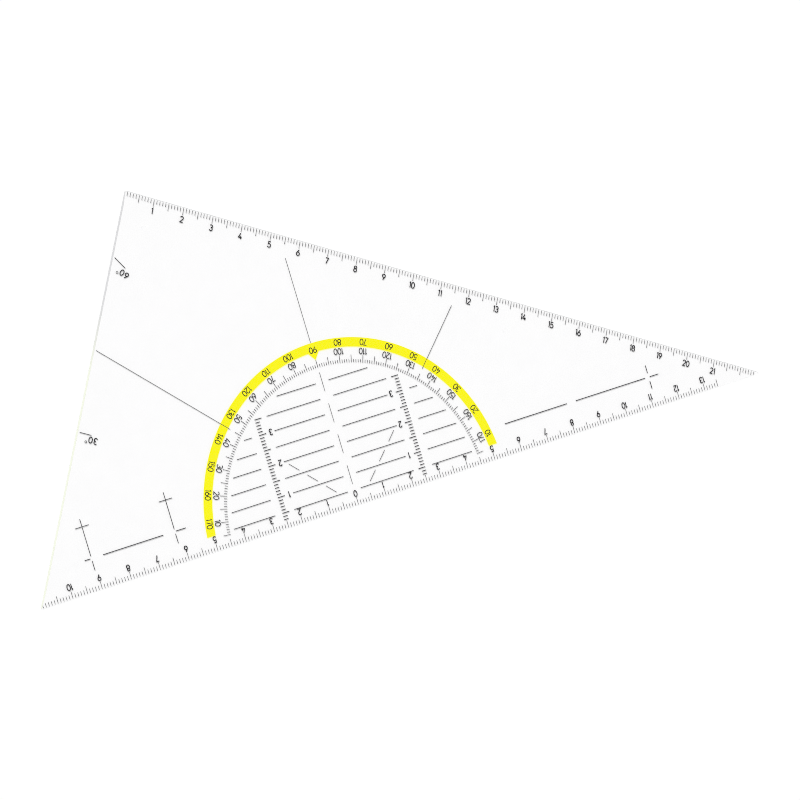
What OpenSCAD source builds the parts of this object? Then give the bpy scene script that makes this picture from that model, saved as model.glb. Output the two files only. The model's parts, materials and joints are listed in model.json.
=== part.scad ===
// Clear drawing triangle with 30, 60 and 90 degree corners and a protractor printed on its underside.
// It lies on a table, printed side down. Millimetres, Z up, the table is at Z = 0.
// The origin is the protractor zero on the longest edge: X runs along that edge towards the
// 30 degree tip and Y runs from the edge into the plate.

/* [Plate] */
// length of the longest edge
hypotenuse = 262.5; // [245:0.5:300]
// distance of the protractor zero from the 60 degree corner
zero_from_corner = 111; // [108:0.5:120]
// thickness of the clear sheet
plate_t = 1.6; // [1.2:0.1:3]
// radius of the three corners
corner_r = 0.3; // [0.2:0.1:0.6]
// width of the bevel along the two graduated edges
bevel_w = 4.5; // [2:0.1:6]
// edge height left under the bevel
bevel_edge_t = 0.8; // [0.5:0.1:1.1]

/* [Pips] */
// radius of the moulded pips that lift the printed side off the paper
pip_r = 0.75; // [0.5:0.05:1]
// height of the pips below the plate
pip_h = 0.4; // [0.2:0.05:0.8]
// distance of the pips from the graduated edges
pip_inset = 9.5; // [7:0.1:14]
// clear gap between a pip and the end of a short guide bar
pip_clear = 0.35; // [0.2:0.05:1]
// gap between a pip and the outer or long guide line beside it
pip_line_gap = 2.2; // [1:0.1:4]
// gap between the yellow band and the pip on its right
pip_band_gap = 0.75; // [0.4:0.05:3]
// distance of the first long leg pip from the square corner
pip_from_90 = 8.4; // [6:0.1:15]
// distance of the second long leg pip from the square corner
pip_from_90_far = 134.7; // [115:0.1:155]

/* [Ink] */
// thickness of the printed layer
ink_t = 0.05; // [0.03:0.01:0.1]
// hair gap between the plate and the printed layer
ink_seat = 0.01; // [0.005:0.005:0.05]
// stroke of the edge ticks and the right angle line
hair_w = 0.12; // [0.1:0.01:0.2]
// stroke of the degree ticks and the diagonals
fine_w = 0.14; // [0.1:0.01:0.25]
// stroke of the parallel lines and the small marks
line_w = 0.19; // [0.15:0.01:0.3]
// stroke of the height ticks and the guide lines
bold_w = 0.23; // [0.18:0.01:0.35]

/* [Edge scales] */
// gap from the longest edge to its ticks
hypotenuse_tick_gap = 0.3; // [0.1:0.05:0.5]
// gap from the long leg to its ticks
leg_tick_gap = 0.1; // [0.05:0.05:0.5]
// length of a millimetre tick
tick_len = 1.3; // [0.8:0.1:1.8]
// length of every fifth tick
long_tick_len = 2.3; // [1.9:0.1:2.8]
// plain end of the longest edge at the 30 degree tip
tip_plain = 16; // [14:0.5:24]

/* [Protractor] */
// radius of the field of parallel lines inside the degree ticks
field_r = 43.2; // [38:0.1:48]
// gap from the field to the degree ticks
degree_gap = 1.4; // [0.8:0.1:3]
// length of a degree tick
degree_len = 1; // [0.6:0.1:1.5]
// length of every fifth degree tick
degree_long_len = 2.4; // [1.6:0.1:3]
// first degree tick above the longest edge
degree_first = 5; // [5:1:10]
// gap from the degree ticks to the tip of the pointer
pointer_gap = 0.1; // [0.05:0.05:0.5]
// length of the pointer inside the yellow band
pointer_len = 2.45; // [1.5:0.05:3.5]
// half width of the pointer where it meets the band
pointer_half_w = 1.9; // [1:0.1:2.4]
// width of the yellow band
band_w = 2.9; // [2.4:0.1:4]
// height of the flat ends of the band above the longest edge
band_end_y = 5; // [4:0.1:8]

/* [Parallel lines] */
// distance between the parallel lines
line_step = 5; // [4:0.1:6]
// least room between the last line and the top of the field
line_top_room = 2; // [1:0.1:5]
// gap of the lines from the right angle line
line_inner_x = 2.3; // [1.5:0.1:3.5]
// gap from the lines to the height scale
line_end_gap = 1.8; // [1:0.1:4]
// further room left at every second line for a numeral
numeral_room = 1.2; // [0.5:0.1:2]
// gap from the height scale to the outer line parts
line_outer_gap = 2.55; // [1:0.05:4]

/* [Height scales] */
// distance of the tick ends from the right angle line
height_x = 25.75; // [22:0.05:29]
// length of a millimetre tick
height_len = 1.5; // [0.8:0.1:1.8]
// length of every fifth tick
height_long_len = 2.45; // [1.9:0.05:2.8]
// first millimetre of the height scale
height_first = 3; // [3:1:6]
// reach of the last tick past the edge of the field
height_over = 0.3; // [0:0.05:0.8]

/* [Right angle line and diagonals] */
// length of a dash of the right angle line
dash_len = 6; // [4:0.1:7]
// sideways reach of a diagonal dash
diagonal_dash = 2.85; // [2:0.05:3.2]
// length of the diagonal rays inside the yellow band
ray_lead = 0.75; // [0.3:0.05:1.5]
// gap from the band to the square ray
ray_gap = 0.2; // [0.1:0.05:1]
// room left for the scale of the long leg
leg_scale_room = 6.5; // [5:0.1:9]
// gap from a ray or an angle mark to the short leg
short_leg_gap = 1; // [0.6:0.1:2]
// gap of bare plate between a ray and the band
print_gap = 0.05; // [0.03:0.01:0.15]

/* [Angle marks] */
// distance of the 60 degree mark from the square corner
mark_60_from_90 = 20.9; // [18:0.1:26]
// length of the 60 degree mark
mark_60_len = 4.7; // [3:0.1:6]
// distance of the 30 degree mark from the square corner
mark_30_from_90 = 75.9; // [65:0.1:88]
// length of the 30 degree mark
mark_30_len = 3.9; // [3:0.1:6]

/* [Guide marks] */
// height of the guide lines above the longest edge
guide_y = 10; // [8.5:0.1:12]
// distance of the outer upright from the 60 degree corner
cross_from_60 = 20.4; // [17:0.1:23]
// gap from the yellow band to the inner upright
cross_band_gap = 9.45; // [7:0.05:12]
// lower end of the uprights
cross_low_y = 6.3; // [5.4:0.1:7]
// upper end of the uprights
cross_high_y = 22.4; // [18:0.1:26]
// drop of the short bars below the upper ends
cross_bar_drop = 2.4; // [1:0.1:4]
// half length of the short bars
cross_bar_half = 2.3; // [1.5:0.1:3]
// half of the gap left around the guide line
cross_gap_half = 0.75; // [0.5:0.05:1]
// gap from an upright to the long guide line
cross_line_gap = 4; // [2:0.1:6]
// gap from an upright to a short guide bar
bar_gap = 0.4; // [0.3:0.05:1]
// length of the short guide bar outside the outer upright
outer_bar_len = 1.9; // [1:0.1:3]
// length of the short guide bar inside the inner upright
inner_bar_len = 3.4; // [2:0.1:4]
// place of the gap along the right guide line, as a share of its length
guide_split = 0.47; // [0.3:0.01:0.7]
// gap in the right guide line
guide_split_gap = 3.4; // [2:0.1:5]
// distance of the right cross from the 30 degree tip
right_cross_from_30 = 40.1; // [34:0.1:46]
// half of the gap at the middle of the right cross
right_cross_gap_half = 1.35; // [1:0.05:2]
// length of the arms of the right cross
right_cross_arm = 2.5; // [1.5:0.1:3]
// length of the bar beside the right cross
right_bar_len = 3.3; // [2:0.1:5]

/* [Hidden] */
tip_angle = 30;
base_angle = 60;
square_angle = 90;
diagonal_angles = [45, 135];
ink_z = pip_h - ink_seat - ink_t;
long_leg = hypotenuse * cos(tip_angle);
short_leg = hypotenuse * sin(tip_angle);
corner_60 = [-zero_from_corner, 0];
corner_30 = [hypotenuse - zero_from_corner, 0];
corner_90 = corner_60 + short_leg * [cos(base_angle), sin(base_angle)];
leg_distance = corner_30.x * sin(tip_angle);
short_leg_distance = zero_from_corner * sin(base_angle);
degree_r = field_r + degree_gap;
pointer_r = degree_r + degree_long_len + pointer_gap;
band_r = pointer_r + pointer_len;
band_outer_r = band_r + band_w;
ray_r = band_r - ray_lead;
line_count = floor((field_r - line_top_room) / line_step);
line_end_x = height_x - height_long_len - line_end_gap;
line_outer_x = height_x + line_outer_gap;
height_last = floor(sqrt(pow(field_r + height_over, 2) - height_x * height_x));
dash_pitch = 2 * line_step;
dash_count = floor((field_r - dash_len / 2) / dash_pitch);
diagonal_count = floor(line_end_x / line_step) - 1;
outer_cross_x = corner_60.x + cross_from_60;
inner_cross_x = -band_outer_r - cross_band_gap;
right_cross_x = corner_30.x - right_cross_from_30;
outer_pip_x = outer_cross_x - bar_gap - outer_bar_len - pip_line_gap - pip_r;
inner_pip_x = inner_cross_x + bar_gap + inner_bar_len + pip_clear + pip_r;
zero_pip_x = band_outer_r + pip_band_gap + pip_r;
right_pip_x = right_cross_x + bar_gap + right_bar_len + pip_clear + pip_r;
guide_start_x = zero_pip_x + pip_r + pip_line_gap;
tick_room = 0.3;
shortest_tick = 0.4;
least_line = 1;
cut_over = 1;
arc_steps = 6;
pip_sides = 48;
band_sides = 180;
black = [0.08, 0.08, 0.09];
yellow = [0.99, 0.96, 0.05];
clear = [0.93, 0.95, 0.96, 0.4];

// points of one rounded corner whose edges leave at the two normals
function corner_arc(corner, half_angle, inward, from, to) =
    let (centre = corner + corner_r / sin(half_angle) * [cos(inward), sin(inward)])
    [for (i = [0:arc_steps])
        let (a = from + (to - from) * i / arc_steps) centre + corner_r * [cos(a), sin(a)]];

// outline of the triangle with rounded corners
function outline() = concat(
    corner_arc(corner_60, base_angle / 2, base_angle / 2, base_angle + 90, 270),
    corner_arc(corner_30, tip_angle / 2, 180 - tip_angle / 2, -90, 90 - tip_angle),
    corner_arc(corner_90, square_angle / 2, -90 + (base_angle - tip_angle) / 2, 90 - tip_angle,
               base_angle + 90));

// one printed stroke from point p to point q
module stroke(p, q, w) {
    d = q - p;
    translate([p.x, p.y, ink_z])
        rotate(atan2(d.y, d.x))
            translate([0, -w / 2, 0])
                cube([norm(d), w, ink_t]);
}

// a stroke along the ray at an angle, between two radii from the zero
module ray(angle, r0, r1, w) {
    u = [cos(angle), sin(angle)];
    stroke(r0 * u, r1 * u, w);
}

// a horizontal stroke at height y
module level(x0, x1, y, w) {
    stroke([x0, y], [x1, y], w);
}

// an upright stroke at place x
module upright(x, y0, y1, w) {
    stroke([x, y0], [x, y1], w);
}

// wedge that takes the bevel off the upper side of an edge along X
module bevel_cut(length) {
    rise = (plate_t - bevel_edge_t) / bevel_w;
    low = pip_h + bevel_edge_t - cut_over * rise;
    high = pip_h + plate_t + cut_over * rise;
    translate([-cut_over, 0, 0])
        rotate([90, 0, 90])
            linear_extrude(length + 2 * cut_over)
                polygon([[-cut_over, low], [bevel_w + cut_over, high], [-cut_over, high]]);
}

// moves children to the long leg, X along the leg from the square corner and Y into the plate
module on_long_leg() {
    translate([corner_90.x, corner_90.y, 0])
        rotate(-tip_angle)
            mirror([0, 1, 0])
                children();
}

// moves children to the short leg, X along the leg from the square corner and Y into the plate
module on_short_leg() {
    translate([corner_90.x, corner_90.y, 0])
        rotate(180 + base_angle)
            children();
}

// pip standing below the plate
module pip(x, y) {
    translate([x, y, 0])
        cylinder(h = pip_h + plate_t / 2, r = pip_r, $fn = pip_sides);
}

// millimetre ticks along an edge whose plate narrows at both ends
module edge_ticks(first, last, gap, start_slope, start, end_slope, end) {
    for (i = [first:last]) {
        room = min((i - start) * start_slope, (end - i) * end_slope) - tick_room;
        full = gap + (i % 5 == 0 ? long_tick_len : tick_len);
        reach = min(full, room);
        if (reach - gap >= shortest_tick)
            upright(i, gap, reach, hair_w);
    }
}

// half width of the circle of the parallel lines at height y
function circle_x(y) = sqrt(field_r * field_r - y * y);

// radius at which a ray comes to the room kept along the long leg
function leg_stop(angle) = (leg_distance - leg_scale_room) / cos(angle - 90 + tip_angle);

// radius at which a ray comes to the short leg
function short_leg_stop(angle) = (short_leg_distance - short_leg_gap) / cos(angle - 90 - base_angle);

module clear_plate() {
    color(clear) {
        difference() {
            translate([0, 0, pip_h])
                linear_extrude(plate_t)
                    polygon(outline());
            translate([corner_60.x, 0, 0])
                bevel_cut(hypotenuse);
            on_long_leg()
                bevel_cut(long_leg);
        }
        for (x = [outer_pip_x, inner_pip_x, zero_pip_x, right_pip_x])
            pip(x, pip_inset);
        on_long_leg()
            for (x = [pip_from_90, pip_from_90_far])
                pip(x, pip_inset);
    }
}

module yellow_band() {
    slope = pointer_half_w / pointer_len;
    base = pointer_len + band_w / 2;
    color(yellow)
        difference() {
            translate([0, 0, ink_z])
                union() {
                    difference() {
                        cylinder(h = ink_t, r = band_outer_r, $fn = band_sides);
                        translate([0, 0, -cut_over])
                            cylinder(h = ink_t + 2 * cut_over, r = band_r, $fn = band_sides);
                        translate([-band_outer_r - cut_over, -band_outer_r - cut_over, -cut_over])
                            cube([2 * (band_outer_r + cut_over), band_outer_r + cut_over + band_end_y,
                                  ink_t + 2 * cut_over]);
                    }
                    linear_extrude(ink_t)
                        polygon([[0, pointer_r], [base * slope, pointer_r + base],
                                 [-base * slope, pointer_r + base]]);
                }
            for (a = diagonal_angles)
                rotate(a)
                    translate([0, -fine_w / 2 - print_gap, 0])
                        cube([band_outer_r + cut_over, fine_w + 2 * print_gap, pip_h + cut_over]);
        }
}

module hypotenuse_scale() {
    color(black)
        edge_ticks(ceil(corner_60.x), floor(corner_30.x - tip_plain), hypotenuse_tick_gap,
                   tan(base_angle), corner_60.x, tan(tip_angle), corner_30.x);
}

module long_leg_scale() {
    color(black)
        on_long_leg()
            edge_ticks(1, floor(long_leg), leg_tick_gap, long_leg, 0, tan(tip_angle), long_leg);
}

module degree_scale() {
    color(black)
        for (a = [degree_first:180 - degree_first])
            ray(a, degree_r, degree_r + (a % 5 == 0 ? degree_long_len : degree_len), fine_w);
}

module height_scales() {
    color(black)
        for (side = [-1, 1], y = [height_first:height_last])
            level(side * height_x, side * (height_x - (y % 5 == 0 ? height_long_len : height_len)),
                  y, bold_w);
}

module parallel_lines() {
    color(black)
        for (side = [-1, 1], i = [1:line_count]) {
            y = i * line_step;
            room = i % 2 == 0 ? numeral_room : 0;
            level(side * line_inner_x, side * min(line_end_x - room, circle_x(y)), y, line_w);
            if (circle_x(y) > line_outer_x + least_line)
                level(side * line_outer_x, side * circle_x(y), y, line_w);
        }
}

module right_angle_line() {
    color(black) {
        for (i = [1:dash_count])
            upright(0, i * dash_pitch - dash_len / 2, i * dash_pitch + dash_len / 2, hair_w);
        upright(0, band_outer_r + ray_gap, leg_stop(square_angle), hair_w);
    }
}

module diagonal_lines() {
    color(black) {
        for (a = diagonal_angles, i = [1:diagonal_count]) {
            middle = (i + 0.5) * line_step;
            ray(a, (middle - diagonal_dash / 2) * sqrt(2), (middle + diagonal_dash / 2) * sqrt(2),
                fine_w);
        }
        ray(diagonal_angles[0], ray_r, leg_stop(diagonal_angles[0]), fine_w);
        ray(diagonal_angles[1], ray_r, short_leg_stop(diagonal_angles[1]), fine_w);
    }
}

module angle_marks() {
    color(black)
        on_short_leg() {
            stroke([mark_60_from_90, short_leg_gap],
                   [mark_60_from_90, short_leg_gap] + mark_60_len * [cos(base_angle), sin(base_angle)],
                   line_w);
            upright(mark_30_from_90, short_leg_gap, short_leg_gap + mark_30_len, line_w);
        }
}

module left_guide_marks() {
    color(black) {
        for (x = [outer_cross_x, inner_cross_x]) {
            upright(x, cross_low_y, guide_y - cross_gap_half, line_w);
            upright(x, guide_y + cross_gap_half, cross_high_y, line_w);
            level(x - cross_bar_half, x + cross_bar_half, cross_high_y - cross_bar_drop, line_w);
        }
        level(outer_cross_x - bar_gap - outer_bar_len, outer_cross_x - bar_gap, guide_y, bold_w);
        level(outer_cross_x + cross_line_gap, inner_cross_x - cross_line_gap, guide_y, bold_w);
        level(inner_cross_x + bar_gap, inner_cross_x + bar_gap + inner_bar_len, guide_y, bold_w);
    }
}

module right_guide_marks() {
    end = right_cross_x - right_cross_gap_half;
    split = guide_start_x + guide_split * (end - guide_start_x);
    color(black) {
        level(guide_start_x, split - guide_split_gap / 2, guide_y, bold_w);
        level(split + guide_split_gap / 2, end, guide_y, bold_w);
        for (side = [-1, 1])
            upright(right_cross_x, guide_y + side * right_cross_gap_half,
                    guide_y + side * (right_cross_gap_half + right_cross_arm), bold_w);
        level(right_cross_x + bar_gap, right_cross_x + bar_gap + right_bar_len, guide_y, bold_w);
    }
}

clear_plate();
yellow_band();
hypotenuse_scale();
long_leg_scale();
degree_scale();
height_scales();
parallel_lines();
right_angle_line();
diagonal_lines();
angle_marks();
left_guide_marks();
right_guide_marks();
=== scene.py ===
"""Looks of a clear drawing triangle: clear plastic, printed inks, numerals, floor, light and camera."""

import json
import logging
import math
from dataclasses import dataclass
from enum import Enum

import bpy
import numpy as np
from mathutils import Matrix, Vector


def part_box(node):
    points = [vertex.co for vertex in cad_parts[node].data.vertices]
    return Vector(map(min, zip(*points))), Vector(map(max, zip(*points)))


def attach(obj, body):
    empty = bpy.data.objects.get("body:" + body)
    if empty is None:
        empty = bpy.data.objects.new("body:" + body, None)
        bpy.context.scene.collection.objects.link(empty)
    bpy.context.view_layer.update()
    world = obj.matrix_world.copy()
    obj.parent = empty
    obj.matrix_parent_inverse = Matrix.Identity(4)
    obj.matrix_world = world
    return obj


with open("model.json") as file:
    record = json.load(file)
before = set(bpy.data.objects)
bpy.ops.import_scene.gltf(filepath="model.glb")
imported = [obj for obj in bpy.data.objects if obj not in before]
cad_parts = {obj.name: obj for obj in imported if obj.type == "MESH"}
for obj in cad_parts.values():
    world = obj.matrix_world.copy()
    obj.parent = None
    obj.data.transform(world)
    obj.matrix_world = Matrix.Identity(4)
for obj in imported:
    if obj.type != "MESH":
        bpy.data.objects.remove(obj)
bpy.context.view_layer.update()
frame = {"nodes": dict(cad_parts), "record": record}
LOG = logging.getLogger("drawing_triangle")
MM = 0.001
BODY = "root"
SHARPEST_TURN = 0.5


class Slot(Enum):
    """Material slots of the record."""

    CLEAR = "clear_plastic"
    YELLOW = "yellow_ink"
    BLACK = "black_ink"


class Shader:
    """A material's node tree with short calls for nodes and links."""

    MIX_COLOURS = (6, 7)
    MIX_RESULT = 2

    def __init__(self, name: str) -> None:
        """Makes an empty material of that name."""
        self.material = bpy.data.materials.new(name)
        self.material.use_nodes = True
        self.tree = self.material.node_tree
        self.tree.nodes.clear()

    def node(self, kind: str, **values: object) -> bpy.types.Node:
        """Adds a node and sets its properties.

        Args:
            kind: Blender's class name of the node, without the leading ShaderNode.
            values: properties of the node by name.

        Returns:
            The new node.
        """
        made = self.tree.nodes.new("ShaderNode" + kind)
        for key, value in values.items():
            setattr(made, key, value)
        return made

    def link(self, source: bpy.types.NodeSocket, target: bpy.types.NodeSocket) -> None:
        """Joins an output to an input."""
        self.tree.links.new(source, target)

    def math(self, operation: str, first: object, second: object = 0.0) -> bpy.types.NodeSocket:
        """Adds a Math node whose inputs are sockets or plain numbers.

        Args:
            operation: Blender's name of the operation.
            first: socket or number.
            second: socket or number.

        Returns:
            The output socket.
        """
        made = self.node("Math", operation=operation)
        for entry, value in zip(made.inputs, (first, second)):
            if isinstance(value, bpy.types.NodeSocket):
                self.link(value, entry)
            else:
                entry.default_value = value
        return made.outputs[0]

    def mix(self, factor: bpy.types.NodeSocket, low: object, high: object) -> bpy.types.NodeSocket:
        """Adds a colour mix.

        Args:
            factor: socket that goes from 0 to 1.
            low: colour or socket at 0.
            high: colour or socket at 1.

        Returns:
            The colour output socket.
        """
        made = self.node("Mix", data_type="RGBA")
        self.link(factor, made.inputs["Factor"])
        for place, value in zip(self.MIX_COLOURS, (low, high)):
            entry = made.inputs[place]
            if isinstance(value, bpy.types.NodeSocket):
                self.link(value, entry)
            else:
                entry.default_value = (*value, 1.0)
        return made.outputs[self.MIX_RESULT]

    def output(self, surface: bpy.types.NodeSocket) -> bpy.types.Material:
        """Ends the tree in a surface output and returns the material."""
        self.link(surface, self.node("OutputMaterial").inputs["Surface"])
        return self.material


class GrainGroup:
    """Shared shader group: fine grain that varies a shade, a roughness and a height over the surface."""

    NAME = "fine_grain"
    FINER = 4.0
    SHARE = 0.5
    DETAIL = 3.0
    NOISE_SPAN = (0.3, 0.7)

    @classmethod
    def get(cls) -> bpy.types.NodeTree:
        """Builds the group once: half of a noise at the given scale plus half of one at a finer scale.

        Returns:
            The node group.
        """
        if cls.NAME in bpy.data.node_groups:
            return bpy.data.node_groups[cls.NAME]
        tree = bpy.data.node_groups.new(cls.NAME, "ShaderNodeTree")
        tree.interface.new_socket("Vector", in_out="INPUT", socket_type="NodeSocketVector")
        for name in ("Scale", "Shade Low", "Shade High", "Roughness Low", "Roughness High"):
            tree.interface.new_socket(name, in_out="INPUT", socket_type="NodeSocketFloat")
        for name in ("Shade", "Roughness", "Height"):
            tree.interface.new_socket(name, in_out="OUTPUT", socket_type="NodeSocketFloat")
        entry = tree.nodes.new("NodeGroupInput")
        leave = tree.nodes.new("NodeGroupOutput")
        coarse = tree.nodes.new("ShaderNodeTexNoise")
        fine = tree.nodes.new("ShaderNodeTexNoise")
        finer = tree.nodes.new("ShaderNodeMath")
        finer.operation = "MULTIPLY"
        finer.inputs[1].default_value = cls.FINER
        both = tree.nodes.new("ShaderNodeMath")
        both.operation = "MULTIPLY_ADD"
        both.inputs[1].default_value = cls.SHARE
        half = tree.nodes.new("ShaderNodeMath")
        half.operation = "MULTIPLY"
        half.inputs[1].default_value = cls.SHARE
        link = tree.links.new
        link(entry.outputs["Scale"], finer.inputs[0])
        link(entry.outputs["Scale"], coarse.inputs["Scale"])
        link(finer.outputs[0], fine.inputs["Scale"])
        for noise in (coarse, fine):
            noise.inputs["Detail"].default_value = cls.DETAIL
            link(entry.outputs["Vector"], noise.inputs["Vector"])
        link(fine.outputs["Fac"], half.inputs[0])
        link(coarse.outputs["Fac"], both.inputs[0])
        link(half.outputs[0], both.inputs[2])
        for name in ("Shade", "Roughness"):
            spread = tree.nodes.new("ShaderNodeMapRange")
            spread.inputs["From Min"].default_value = cls.NOISE_SPAN[0]
            spread.inputs["From Max"].default_value = cls.NOISE_SPAN[1]
            link(both.outputs[0], spread.inputs["Value"])
            link(entry.outputs[name + " Low"], spread.inputs["To Min"])
            link(entry.outputs[name + " High"], spread.inputs["To Max"])
            link(spread.outputs["Result"], leave.inputs[name])
        link(both.outputs[0], leave.inputs["Height"])
        return tree


@dataclass(frozen=True)
class Grain:
    """Values of the fine grain in one material."""

    scale: float
    shade: tuple[float, float]
    roughness: tuple[float, float]

    def place(self, shader: Shader) -> bpy.types.Node:
        """Puts the shared group into a material on Object coordinates.

        Args:
            shader: the material being built.

        Returns:
            The group node with its outputs Shade, Roughness and Height.
        """
        group = shader.node("Group", node_tree=GrainGroup.get())
        shader.link(shader.node("TexCoord").outputs["Object"], group.inputs["Vector"])
        group.inputs["Scale"].default_value = self.scale
        for name, span in (("Shade", self.shade), ("Roughness", self.roughness)):
            group.inputs[name + " Low"].default_value = span[0]
            group.inputs[name + " High"].default_value = span[1]
        return group


@dataclass(frozen=True)
class PrintedInk:
    """Thin printed ink: two shades mixed by its grain. Sheer ink colours the light that it lets through."""

    name: str
    thick: tuple[float, float, float]
    thin: tuple[float, float, float]
    sheer: tuple[float, float, float] | None = None
    grain: Grain = Grain(2600.0, (0.0, 1.0), (0.45, 0.65))
    bump: float = 0.08
    bump_depth: float = 0.004 * MM

    def material(self) -> bpy.types.Material:
        """Builds the ink's material.

        Returns:
            The material. It has no gloss, because the ink is bonded to the plate.
        """
        shader = Shader(self.name)
        grain = self.grain.place(shader)
        surface = shader.node("BsdfPrincipled")
        shader.link(shader.mix(grain.outputs["Shade"], self.thick, self.thin), surface.inputs["Base Color"])
        shader.link(grain.outputs["Roughness"], surface.inputs["Roughness"])
        relief = shader.node("Bump")
        relief.inputs["Strength"].default_value = self.bump
        relief.inputs["Distance"].default_value = self.bump_depth
        shader.link(grain.outputs["Height"], relief.inputs["Height"])
        shader.link(relief.outputs["Normal"], surface.inputs["Normal"])
        surface.inputs["Specular IOR Level"].default_value = 0.0
        if self.sheer is None:
            return shader.output(surface.outputs["BSDF"])
        film = shader.node("BsdfTransparent")
        film.inputs["Color"].default_value = (*self.sheer, 1.0)
        path = shader.node("LightPath")
        both = shader.node("MixShader")
        shader.link(shader.math("MAXIMUM", path.outputs["Is Shadow Ray"], path.outputs["Is Diffuse Ray"]),
                    both.inputs["Fac"])
        shader.link(surface.outputs["BSDF"], both.inputs[1])
        shader.link(film.outputs["BSDF"], both.inputs[2])
        return shader.output(both.outputs["Shader"])


@dataclass(frozen=True)
class EdgePlane:
    """An upright side of the plate: a point on it and its outward direction, in metres."""

    point: tuple[float, float, float]
    outward: tuple[float, float, float]

    def depth(self, shader: Shader, place: bpy.types.NodeSocket) -> bpy.types.NodeSocket:
        """Measures how far a place lies outside the side: the outward part of its offset from the point.

        Args:
            shader: the material being built.
            place: Object coordinates.

        Returns:
            The distance, which is negative inside the plate.
        """
        offset = shader.node("VectorMath", operation="SUBTRACT")
        shader.link(place, offset.inputs[0])
        offset.inputs[1].default_value = self.point
        along = shader.node("VectorMath", operation="DOT_PRODUCT")
        shader.link(offset.outputs["Vector"], along.inputs[0])
        along.inputs[1].default_value = self.outward
        return along.outputs["Value"]


@dataclass(frozen=True)
class ClearPlastic:
    """Polished clear plastic that lets lamp light through, with satin sides; the short leg's side carries
    painted edge shading, grey high and pale yellow low.
    """

    name: str
    body: tuple[float, float, float]
    haze: tuple[float, float, float]
    side: tuple[float, float, float]
    short_leg_high: tuple[float, float, float]
    short_leg_low: tuple[float, float, float]
    sides: tuple[EdgePlane, ...]
    side_depth: float
    fade: tuple[float, float]
    film: tuple[float, float, float]
    ior: float = 1.2
    grain: Grain = Grain(260.0, (0.0, 1.0), (0.0, 0.03))
    bump: float = 0.02
    bump_depth: float = 0.002 * MM
    side_roughness: float = 0.5
    trapped_after: float = 3.5

    def side_mask(self, shader: Shader, depth: bpy.types.NodeSocket) -> bpy.types.NodeSocket:
        """Turns a depth into a mask that is 1 on a side and 0 inside the plate.

        Args:
            shader: the material being built.
            depth: distance outside the side, negative inside the plate.

        Returns:
            The mask.
        """
        mask = shader.node("MapRange", interpolation_type="SMOOTHSTEP")
        mask.inputs["From Min"].default_value = -self.side_depth
        mask.inputs["From Max"].default_value = -self.side_depth / 2
        shader.link(depth, mask.inputs["Value"])
        return mask.outputs["Result"]

    def side_finish(self, shader: Shader, place: bpy.types.NodeSocket) -> tuple[bpy.types.NodeSocket, ...]:
        """Finds the satin sides and their colour. The first side is the short leg, with painted edge shading
        along its height: grey shade high, pale yellow low.

        Args:
            shader: the material being built.
            place: Object coordinates.

        Returns:
            The mask of all sides, and their colour.
        """
        masks = [self.side_mask(shader, side.depth(shader, place)) for side in self.sides]
        split = shader.node("SeparateXYZ")
        shader.link(place, split.inputs[0])
        height = shader.node("MapRange", interpolation_type="SMOOTHSTEP")
        height.inputs["From Min"].default_value = self.fade[0]
        height.inputs["From Max"].default_value = self.fade[1]
        shader.link(split.outputs["Y"], height.inputs["Value"])
        # painted edge shading on the short leg: grey shade near the top corner, pale yellow lower down
        painted_edge_colour = shader.mix(height.outputs["Result"], self.short_leg_low, self.short_leg_high)
        both = masks[0]
        for mask in masks[1:]:
            both = shader.math("MAXIMUM", both, mask)
        return both, shader.mix(masks[0], self.side, painted_edge_colour)

    def material(self) -> bpy.types.Material:
        """Builds the material: glass for the eye, a clear film for lamp light and for rays trapped inside.

        Returns:
            The plastic's material.
        """
        shader = Shader(self.name)
        grain = self.grain.place(shader)
        place = shader.node("TexCoord").outputs["Object"]
        mask, painted_edge_colour = self.side_finish(shader, place)
        glass = shader.node("BsdfPrincipled")
        shader.link(shader.mix(grain.outputs["Shade"], self.body, self.haze), glass.inputs["Base Color"])
        shader.link(grain.outputs["Roughness"], glass.inputs["Roughness"])
        glass.inputs["Transmission Weight"].default_value = 1.0
        glass.inputs["IOR"].default_value = self.ior
        relief = shader.node("Bump")
        relief.inputs["Strength"].default_value = self.bump
        relief.inputs["Distance"].default_value = self.bump_depth
        shader.link(grain.outputs["Height"], relief.inputs["Height"])
        shader.link(relief.outputs["Normal"], glass.inputs["Normal"])
        satin = shader.node("BsdfPrincipled")
        shader.link(painted_edge_colour, satin.inputs["Base Color"])
        satin.inputs["Roughness"].default_value = self.side_roughness
        solid = shader.node("MixShader")
        shader.link(mask, solid.inputs["Fac"])
        shader.link(glass.outputs["BSDF"], solid.inputs[1])
        shader.link(satin.outputs["BSDF"], solid.inputs[2])
        film = shader.node("BsdfTransparent")
        film.inputs["Color"].default_value = (*self.film, 1.0)
        path = shader.node("LightPath")
        unseen = shader.math("MAXIMUM", path.outputs["Is Shadow Ray"], path.outputs["Is Diffuse Ray"])
        trapped = shader.math("GREATER_THAN", path.outputs["Ray Depth"], self.trapped_after)
        unseen = shader.math("MAXIMUM", unseen, trapped)
        both = shader.node("MixShader")
        shader.link(unseen, both.inputs["Fac"])
        shader.link(solid.outputs["Shader"], both.inputs[1])
        shader.link(film.outputs["BSDF"], both.inputs[2])
        return shader.output(both.outputs["Shader"])


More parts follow.
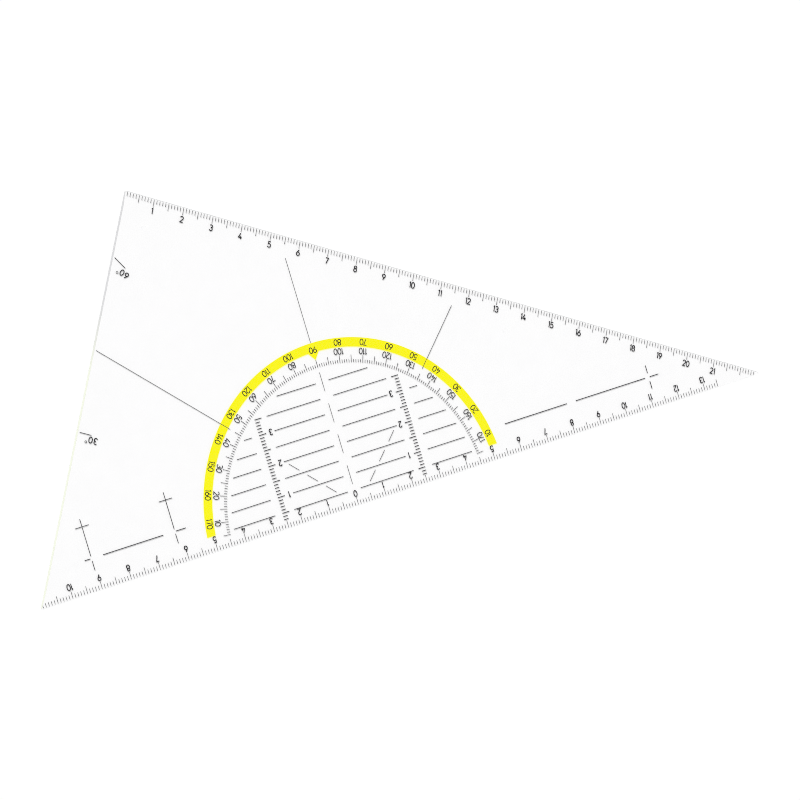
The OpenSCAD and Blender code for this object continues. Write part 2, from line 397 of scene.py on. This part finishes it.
@dataclass(frozen=True)
class PaleFloor:
    """White paper floor: lit for its shadows, with a little glow of its own for the eye."""

    name: str
    paper: tuple[float, float, float]
    shade: tuple[float, float, float]
    glow: float
    grain: Grain = Grain(60.0, (0.0, 1.0), (0.8, 0.95))

    def material(self) -> bpy.types.Material:
        """Builds the floor's material.

        Returns:
            The material.
        """
        shader = Shader(self.name)
        grain = self.grain.place(shader)
        surface = shader.node("BsdfPrincipled")
        shader.link(shader.mix(grain.outputs["Shade"], self.paper, self.shade), surface.inputs["Base Color"])
        shader.link(grain.outputs["Roughness"], surface.inputs["Roughness"])
        surface.inputs["Specular IOR Level"].default_value = 0.0
        path = shader.node("LightPath")
        seen = shader.math("MAXIMUM", path.outputs["Is Camera Ray"], path.outputs["Is Glossy Ray"])
        seen = shader.math("MAXIMUM", seen, path.outputs["Is Transmission Ray"])
        glow = shader.node("Emission")
        shader.link(shader.math("MULTIPLY", seen, self.glow), glow.inputs["Strength"])
        both = shader.node("AddShader")
        shader.link(surface.outputs["BSDF"], both.inputs[0])
        shader.link(glow.outputs["Emission"], both.inputs[1])
        return shader.output(both.outputs["Shader"])


def line(*points: tuple[float, float]) -> np.ndarray:
    """A path straight through the given points."""
    return np.array(points, float)


def arc(centre: tuple[float, float], radii: tuple[float, float], start: float, end: float,
        steps: int = 12) -> np.ndarray:
    """A path along an ellipse: centre plus the radii times the cosine and sine of an even run of angles.

    Args:
        centre: middle of the ellipse.
        radii: half width and half height.
        start: first angle in degrees.
        end: last angle in degrees.
        steps: number of straight parts.

    Returns:
        Points of the path, one per row.
    """
    angle = np.radians(np.linspace(start, end, steps + 1))
    return np.array(centre) + np.array(radii) * np.stack([np.cos(angle), np.sin(angle)], 1)


def ring(centre: tuple[float, float], radii: tuple[float, float], steps: int = 18) -> np.ndarray:
    """A closed path round an ellipse, whose last point repeats the first."""
    return arc(centre, radii, 90.0, 450.0, steps)


@dataclass(frozen=True)
class Glyph:
    """One numeral: width and stroke paths in shares of its height, and its share of the stroke's width."""

    width: float
    paths: tuple[np.ndarray, ...]
    weight: float = 1.0


class DraftingFont:
    """Single-stroke drafting numerals, each a few lines and arcs in a box of height 1."""

    LOW = 0.055
    HIGH = 0.945

    def __init__(self) -> None:
        """Draws the ten numerals and the degree sign."""
        low, high = self.LOW, self.HIGH
        two = np.concatenate([arc((0.30, 0.695), (0.235, 0.25), 165.0, -35.0),
                              line((0.07, low), (0.56, low))])
        three = np.concatenate([arc((0.29, 0.725), (0.22, 0.22), 150.0, -80.0),
                                arc((0.29, 0.295), (0.245, 0.24), 80.0, -155.0)])
        four = (line((0.36, high), (0.07, 0.29), (0.60, 0.29)), line((0.44, 0.50), (0.44, low)))
        five = np.concatenate([line((0.50, high), (0.15, high), (0.10, 0.52)),
                               arc((0.29, 0.335), (0.265, 0.28), 130.0, -150.0)])
        self.glyphs: dict[str, Glyph] = {
            "0": Glyph(0.66, (ring((0.33, 0.5), (0.265, 0.445)),)),
            "1": Glyph(0.38, (line((0.08, 0.80), (0.24, high), (0.24, low)),)),
            "2": Glyph(0.62, (two,)),
            "3": Glyph(0.60, (three,)),
            "4": Glyph(0.66, four),
            "5": Glyph(0.62, (five,)),
            "6": Glyph(0.64, (ring((0.32, 0.315), (0.25, 0.26)), line((0.11, 0.455), (0.43, high)))),
            "7": Glyph(0.58, (line((0.07, high), (0.53, high), (0.22, low)),)),
            "8": Glyph(0.62, (ring((0.31, 0.735), (0.20, 0.21)), ring((0.31, 0.295), (0.245, 0.24)))),
            "9": Glyph(0.64, (ring((0.32, 0.685), (0.25, 0.26)), line((0.53, 0.545), (0.21, low)))),
            "\N{DEGREE SIGN}": Glyph(0.34, (ring((0.17, 0.94), (0.16, 0.16), 12),), 0.45),
        }

    def paths(self, text: str, spacing: float) -> list[tuple[np.ndarray, float]]:
        """Sets a text in one line, centred on the origin.

        Args:
            text: numerals and degree signs.
            spacing: extra room between the marks, in shares of the text's height.

        Returns:
            The stroke paths in shares of the text's height, each with its share of the stroke.
        """
        glyphs = [self.glyphs[mark] for mark in text]
        start = -(sum(glyph.width for glyph in glyphs) + spacing * (len(glyphs) - 1)) / 2
        found: list[tuple[np.ndarray, float]] = []
        for glyph in glyphs:
            found += [(path + (start, -0.5), glyph.weight) for path in glyph.paths]
            start += glyph.width + spacing
        return found


@dataclass(frozen=True)
class Label:
    """A text at a place on the plate, in millimetres, with its reading direction in degrees."""

    text: str
    x: float
    y: float
    turn: float
    height: float
    spacing: float = 0.0


def ribbon(path: np.ndarray, width: float, low: float, high: float) -> tuple[np.ndarray, np.ndarray]:
    """Carries a flat rectangular profile along a path.

    Each point is moved half the width to both sides along the mean of its two neighbour normals, made
    longer by the turn so that the ribbon keeps its width, and then to the low and the high level.

    Args:
        path: points of the path, closed if the last repeats the first.
        width: width of the ribbon.
        low: lower level.
        high: upper level.

    Returns:
        Corner points, and faces of four corners each.
    """
    closed = bool(np.allclose(path[0], path[-1]))
    points = path[:-1] if closed else path
    step = np.diff(path, axis=0)
    step = step / np.linalg.norm(step, axis=1, keepdims=True)
    before = np.roll(step, 1, axis=0) if closed else np.vstack([step[:1], step])
    after = step if closed else np.vstack([step, step[-1:]])
    mean = before + after
    mean = mean / np.linalg.norm(mean, axis=1, keepdims=True)
    side = np.stack([-mean[:, 1], mean[:, 0]], 1)
    side = side / np.maximum((mean * after).sum(1, keepdims=True), SHARPEST_TURN)
    offset = np.array([0.5, -0.5, -0.5, 0.5]) * width
    level = np.array([high, high, low, low])
    flat = points[:, None, :] + offset[None, :, None] * side[:, None, :]
    count = len(points)
    corners = np.concatenate([flat, np.broadcast_to(level[None, :, None], (count, 4, 1))], 2)
    first = np.arange(count if closed else count - 1)[:, None] * 4
    nexts = (first + 4) % (4 * count)
    turn = np.arange(4)[None, :]
    following = (turn + 1) % 4
    faces = np.stack([first + turn, nexts + turn, nexts + following, first + following], 2).reshape(-1, 4)
    if not closed:
        caps = np.array([[0, 1, 2, 3], [4 * count - 1, 4 * count - 2, 4 * count - 3, 4 * count - 4]])
        faces = np.vstack([faces, caps])
    return corners.reshape(-1, 3), faces


@dataclass
class PrintedNumerals:
    """A group of printed numerals that lies in the ink layer under the plate."""

    name: str
    labels: list[Label]
    font: DraftingFont
    low: float
    high: float
    stroke: float

    def build(self) -> bpy.types.Object:
        """Makes one mesh of all the group's strokes.

        Returns:
            The new object, at the origin, with its place in its mesh.
        """
        corners: list[np.ndarray] = []
        faces: list[np.ndarray] = []
        total = 0
        for label in self.labels:
            turn = math.radians(label.turn)
            spin = np.array([[math.cos(turn), math.sin(turn)], [-math.sin(turn), math.cos(turn)]])
            for path, weight in self.font.paths(label.text, label.spacing):
                placed = (path * label.height) @ spin + (label.x, label.y)
                points, quads = ribbon(placed, self.stroke * weight, self.low, self.high)
                corners.append(points)
                faces.append(quads + total)
                total += len(points)
        mesh = bpy.data.meshes.new(self.name)
        mesh.from_pydata((np.concatenate(corners) * MM).tolist(), [], np.concatenate(faces).tolist())
        mesh.validate()
        piece = bpy.data.objects.new(self.name, mesh)
        bpy.context.scene.collection.objects.link(piece)
        return piece

    def dress(self, piece: bpy.types.Object, ink: bpy.types.Material) -> None:
        """Gives the numerals their ink and puts them on the object's body.

        Args:
            piece: the group's object.
            ink: the printing ink.
        """
        piece.data.materials.append(ink)
        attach(piece, BODY)
        LOG.info("%s: %d labels, %d faces", self.name, len(self.labels), len(piece.data.polygons))


@dataclass
class Triangle:
    """The clear plate with its printed layers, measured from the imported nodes."""

    numeral: float = 2.0
    degree_numeral: float = 2.05
    stroke: float = 0.28
    outer_stroke: float = 0.27
    inner_stroke: float = 0.215
    over_ink: float = 0.005
    centimetre: float = 10.0
    edge_row: float = 3.85
    leg_row: float = 3.7
    outer_row: float = 51.0
    outer_row_square: float = 50.2
    inner_row: float = 48.2
    height_row: float = 21.6
    height_last: int = 3
    leg_last: int = 21
    edge_end_room: float = 0.1
    degree_step: int = 10
    half_turn: int = 180
    upside_down: float = 180.0
    tip_degrees: float = 30.0
    angle_labels: tuple[Label, ...] = (
        Label("60\N{DEGREE SIGN}", x=-53.87, y=89.79, turn=129.0, height=2.08, spacing=0.15),
        Label("30\N{DEGREE SIGN}", x=-79.55, y=44.08, turn=149.0, height=2.08, spacing=0.17))

    def __post_init__(self) -> None:
        """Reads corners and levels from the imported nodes, in millimetres."""
        ink_low, ink_high = (np.array(corner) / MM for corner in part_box("degree_scale"))
        self.ink_low = float(ink_low[2])
        self.ink_high = float(ink_high[2]) + self.over_ink
        self.tip_angle = math.radians(self.tip_degrees)
        self.square_corner = self.find_square_corner()

    def find_square_corner(self) -> np.ndarray:
        """Finds where the two legs meet: the point that lies as far out as the plate does across both legs.

        Returns:
            The corner without its rounding.
        """
        vertices = frame["nodes"]["clear_plate"].data.vertices
        points = np.empty(3 * len(vertices))
        vertices.foreach_get("co", points)
        across = np.array([[math.sin(self.tip_angle), math.cos(self.tip_angle)],
                           [-math.cos(self.tip_angle), math.sin(self.tip_angle)]])
        reach = (points.reshape(-1, 3)[:, :2] / MM @ across.T).max(0)
        return np.linalg.solve(across, reach)

    def sides(self) -> tuple[EdgePlane, ...]:
        """The plate's three upright sides.

        Returns:
            The short leg, the long leg and the longest edge.
        """
        corner = (float(self.square_corner[0]) * MM, float(self.square_corner[1]) * MM, 0.0)
        cosine, sine = math.cos(self.tip_angle), math.sin(self.tip_angle)
        return (EdgePlane(corner, (-cosine, sine, 0.0)), EdgePlane(corner, (sine, cosine, 0.0)),
                EdgePlane((0.0, 0.0, 0.0), (0.0, -1.0, 0.0)))

    def edge_labels(self) -> list[Label]:
        """Centimetre numerals along the longest edge.

        Returns:
            The labels, counted from the zero to both sides.
        """
        low, high = (corner[0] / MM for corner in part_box("hypotenuse_scale"))
        first = math.ceil(low / self.centimetre + self.edge_end_room)
        last = math.floor(high / self.centimetre)
        return [Label(str(abs(k)), k * self.centimetre, self.edge_row, self.upside_down, self.numeral)
                for k in range(first, last + 1)]

    def leg_labels(self) -> list[Label]:
        """Centimetre numerals along the long leg.

        Returns:
            The labels, counted from the square corner.
        """
        along = np.array([math.cos(self.tip_angle), -math.sin(self.tip_angle)])
        inward = np.array([-math.sin(self.tip_angle), -math.cos(self.tip_angle)])
        counts = np.arange(1, self.leg_last + 1)
        places = self.square_corner + self.centimetre * np.outer(counts, along) + self.leg_row * inward
        return [Label(str(k), float(x), float(y), -self.tip_degrees, self.numeral)
                for k, (x, y) in zip(counts, places)]

    def degree_labels(self, outer: bool) -> list[Label]:
        """Degree numerals every ten degrees with their tops towards the zero.

        Args:
            outer: True for the row on the yellow band, False for the row inside it.

        Returns:
            The row's labels.
        """
        found = []
        for angle in range(self.degree_step, self.half_turn, self.degree_step):
            square = 2 * angle == self.half_turn
            if square and not outer:
                continue
            radius = (self.outer_row_square if square else self.outer_row) if outer else self.inner_row
            turn = math.radians(angle)
            text = str(angle if outer else self.half_turn - angle)
            found.append(Label(text, radius * math.cos(turn), radius * math.sin(turn),
                               angle + self.half_turn / 2, self.degree_numeral))
        return found

    def height_labels(self) -> list[Label]:
        """Centimetre numerals beside the two height scales.

        Returns:
            The labels of both scales.
        """
        return [Label(str(k), side * self.height_row, k * self.centimetre, self.upside_down, self.numeral)
                for side in (-1, 1) for k in range(1, self.height_last + 1)]

    def numerals(self) -> list[PrintedNumerals]:
        """All groups of numerals.

        Returns:
            The groups, in the order they are printed.
        """
        font = DraftingFont()
        groups = {
            "hypotenuse_numerals": (self.edge_labels(), self.stroke),
            "long_leg_numerals": (self.leg_labels(), self.stroke),
            "outer_degree_numerals": (self.degree_labels(True), self.outer_stroke),
            "inner_degree_numerals": (self.degree_labels(False), self.inner_stroke),
            "height_numerals": (self.height_labels(), self.stroke),
            "angle_labels": (list(self.angle_labels), self.stroke),
        }
        return [PrintedNumerals(name, labels, font, self.ink_low, self.ink_high, stroke)
                for name, (labels, stroke) in groups.items()]

    def dress(self) -> None:
        """Builds the numerals and gives every node its finish."""
        plastic = ClearPlastic(
            name="clear_polished_plastic", body=(0.992, 0.990, 0.992), haze=(0.989, 0.986, 0.989),
            # the short leg's side colours are painted edge shading, grey high and pale yellow low
            side=(0.86, 0.87, 0.88), short_leg_high=(0.62, 0.62, 0.63), short_leg_low=(0.81, 0.84, 0.71),
            sides=self.sides(), side_depth=0.04 * MM, fade=(60.0 * MM, 85.0 * MM),
            film=(0.987, 0.987, 0.988)).material()
        black = PrintedInk(name="black_printing_ink", thick=(0.012, 0.012, 0.014),
                           thin=(0.035, 0.035, 0.038)).material()
        yellow = PrintedInk(name="yellow_printing_ink", thick=(0.98, 0.93, 0.005),
                            thin=(1.0, 0.97, 0.012), sheer=(1.0, 0.985, 0.2)).material()
        finishes = {Slot.CLEAR.value: plastic, Slot.BLACK.value: black, Slot.YELLOW.value: yellow}
        slots = {part["node"]: part["material_slot"] for part in frame["record"]["subparts"]}
        for name, node in frame["nodes"].items():
            for entry in node.material_slots:
                entry.material = finishes[slots[name]]
            LOG.info("%s: %s", name, slots[name])
        for group in self.numerals():
            group.dress(group.build(), black)


@dataclass
class Studio:
    """Pale floor, soft light and the camera at the photograph's viewing angle."""

    floor_half: float = 4.0
    floor_drop: float = 0.02 * MM
    world_level: float = 0.5
    lamp_level: float = 0.61
    lamp_spread: float = 35.0
    lamp_from: tuple[float, float, float] = (-0.35, 0.55, 0.76)
    eye: tuple[float, float, float] = (-0.622127, 0.087591, 1.318639)
    forward: tuple[float, float, float] = (0.4398, -0.041076, -0.897156)
    up: tuple[float, float, float] = (0.273317, 0.957691, 0.090137)
    lens: float = 211.685
    sensor: float = 36.0
    far_clip: float = 100.0
    pixel_width: float = 1.0

    def floor(self) -> None:
        """Lays a square floor: a grid of two by two corners over plus and minus the half width."""
        side = np.array([-self.floor_half, self.floor_half])
        x, y = np.meshgrid(side, side)
        corners = np.stack([x, y, np.full_like(x, -self.floor_drop)], 2).reshape(-1, 3)
        mesh = bpy.data.meshes.new("paper_floor")
        mesh.from_pydata(corners.tolist(), [], [(0, 1, 3, 2)])
        piece = bpy.data.objects.new("paper_floor", mesh)
        bpy.context.scene.collection.objects.link(piece)
        paper = PaleFloor(name="white_paper", paper=(0.93, 0.93, 0.93), shade=(0.91, 0.91, 0.91), glow=0.09)
        mesh.materials.append(paper.material())

    def world(self) -> None:
        """White surroundings: full white for the eye and in reflections, softer as light."""
        world = bpy.data.worlds.new("white_room")
        world.use_nodes = True
        bpy.context.scene.world = world
        tree = world.node_tree
        tree.nodes.clear()
        path = tree.nodes.new("ShaderNodeLightPath")
        seen = tree.nodes.new("ShaderNodeMath")
        seen.operation = "MAXIMUM"
        through = tree.nodes.new("ShaderNodeMath")
        through.operation = "MAXIMUM"
        level = tree.nodes.new("ShaderNodeMapRange")
        level.inputs["To Min"].default_value = self.world_level
        level.inputs["To Max"].default_value = 1.0
        light = tree.nodes.new("ShaderNodeBackground")
        end = tree.nodes.new("ShaderNodeOutputWorld")
        tree.links.new(path.outputs["Is Camera Ray"], seen.inputs[0])
        tree.links.new(path.outputs["Is Glossy Ray"], seen.inputs[1])
        tree.links.new(seen.outputs[0], through.inputs[0])
        tree.links.new(path.outputs["Is Transmission Ray"], through.inputs[1])
        tree.links.new(through.outputs[0], level.inputs["Value"])
        tree.links.new(level.outputs["Result"], light.inputs["Strength"])
        tree.links.new(light.outputs["Background"], end.inputs["Surface"])

    def lamp(self) -> None:
        """One wide soft lamp far above: its strength is pi times its level over the cosine of its slant."""
        data = bpy.data.lights.new("soft_lamp", "SUN")
        towards = Vector(self.lamp_from).normalized()
        data.energy = math.pi * self.lamp_level / towards.z
        data.angle = math.radians(self.lamp_spread)
        lamp = bpy.data.objects.new("soft_lamp", data)
        lamp.location = towards
        lamp.rotation_euler = (-towards).to_track_quat("-Z", "Y").to_euler()
        lamp.visible_glossy = False
        lamp.visible_transmission = False
        bpy.context.scene.collection.objects.link(lamp)

    def camera(self) -> None:
        """Sets the camera from its place, its viewing direction and the picture's upward direction."""
        data = bpy.data.cameras.new("camera")
        data.sensor_width = self.sensor
        data.sensor_fit = "HORIZONTAL"
        data.lens = self.lens
        data.clip_end = self.far_clip
        back = -Vector(self.forward).normalized()
        right = Vector(self.up).cross(back).normalized()
        turn = Matrix((right, back.cross(right), back)).transposed()
        camera = bpy.data.objects.new("camera", data)
        camera.matrix_world = Matrix.Translation(Vector(self.eye)) @ turn.to_4x4()
        bpy.context.scene.collection.objects.link(camera)
        bpy.context.scene.camera = camera

    def build(self) -> None:
        """Sets up floor, surroundings, lamp, camera and the plain view transform."""
        self.floor()
        self.world()
        self.lamp()
        self.camera()
        bpy.context.scene.view_settings.view_transform = "Standard"
        bpy.context.scene.cycles.filter_width = self.pixel_width


def main() -> None:
    """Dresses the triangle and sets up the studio."""
    logging.basicConfig(level=logging.INFO, format="%(message)s")
    Triangle().dress()
    Studio().build()


if __name__ == "__main__":
    main()
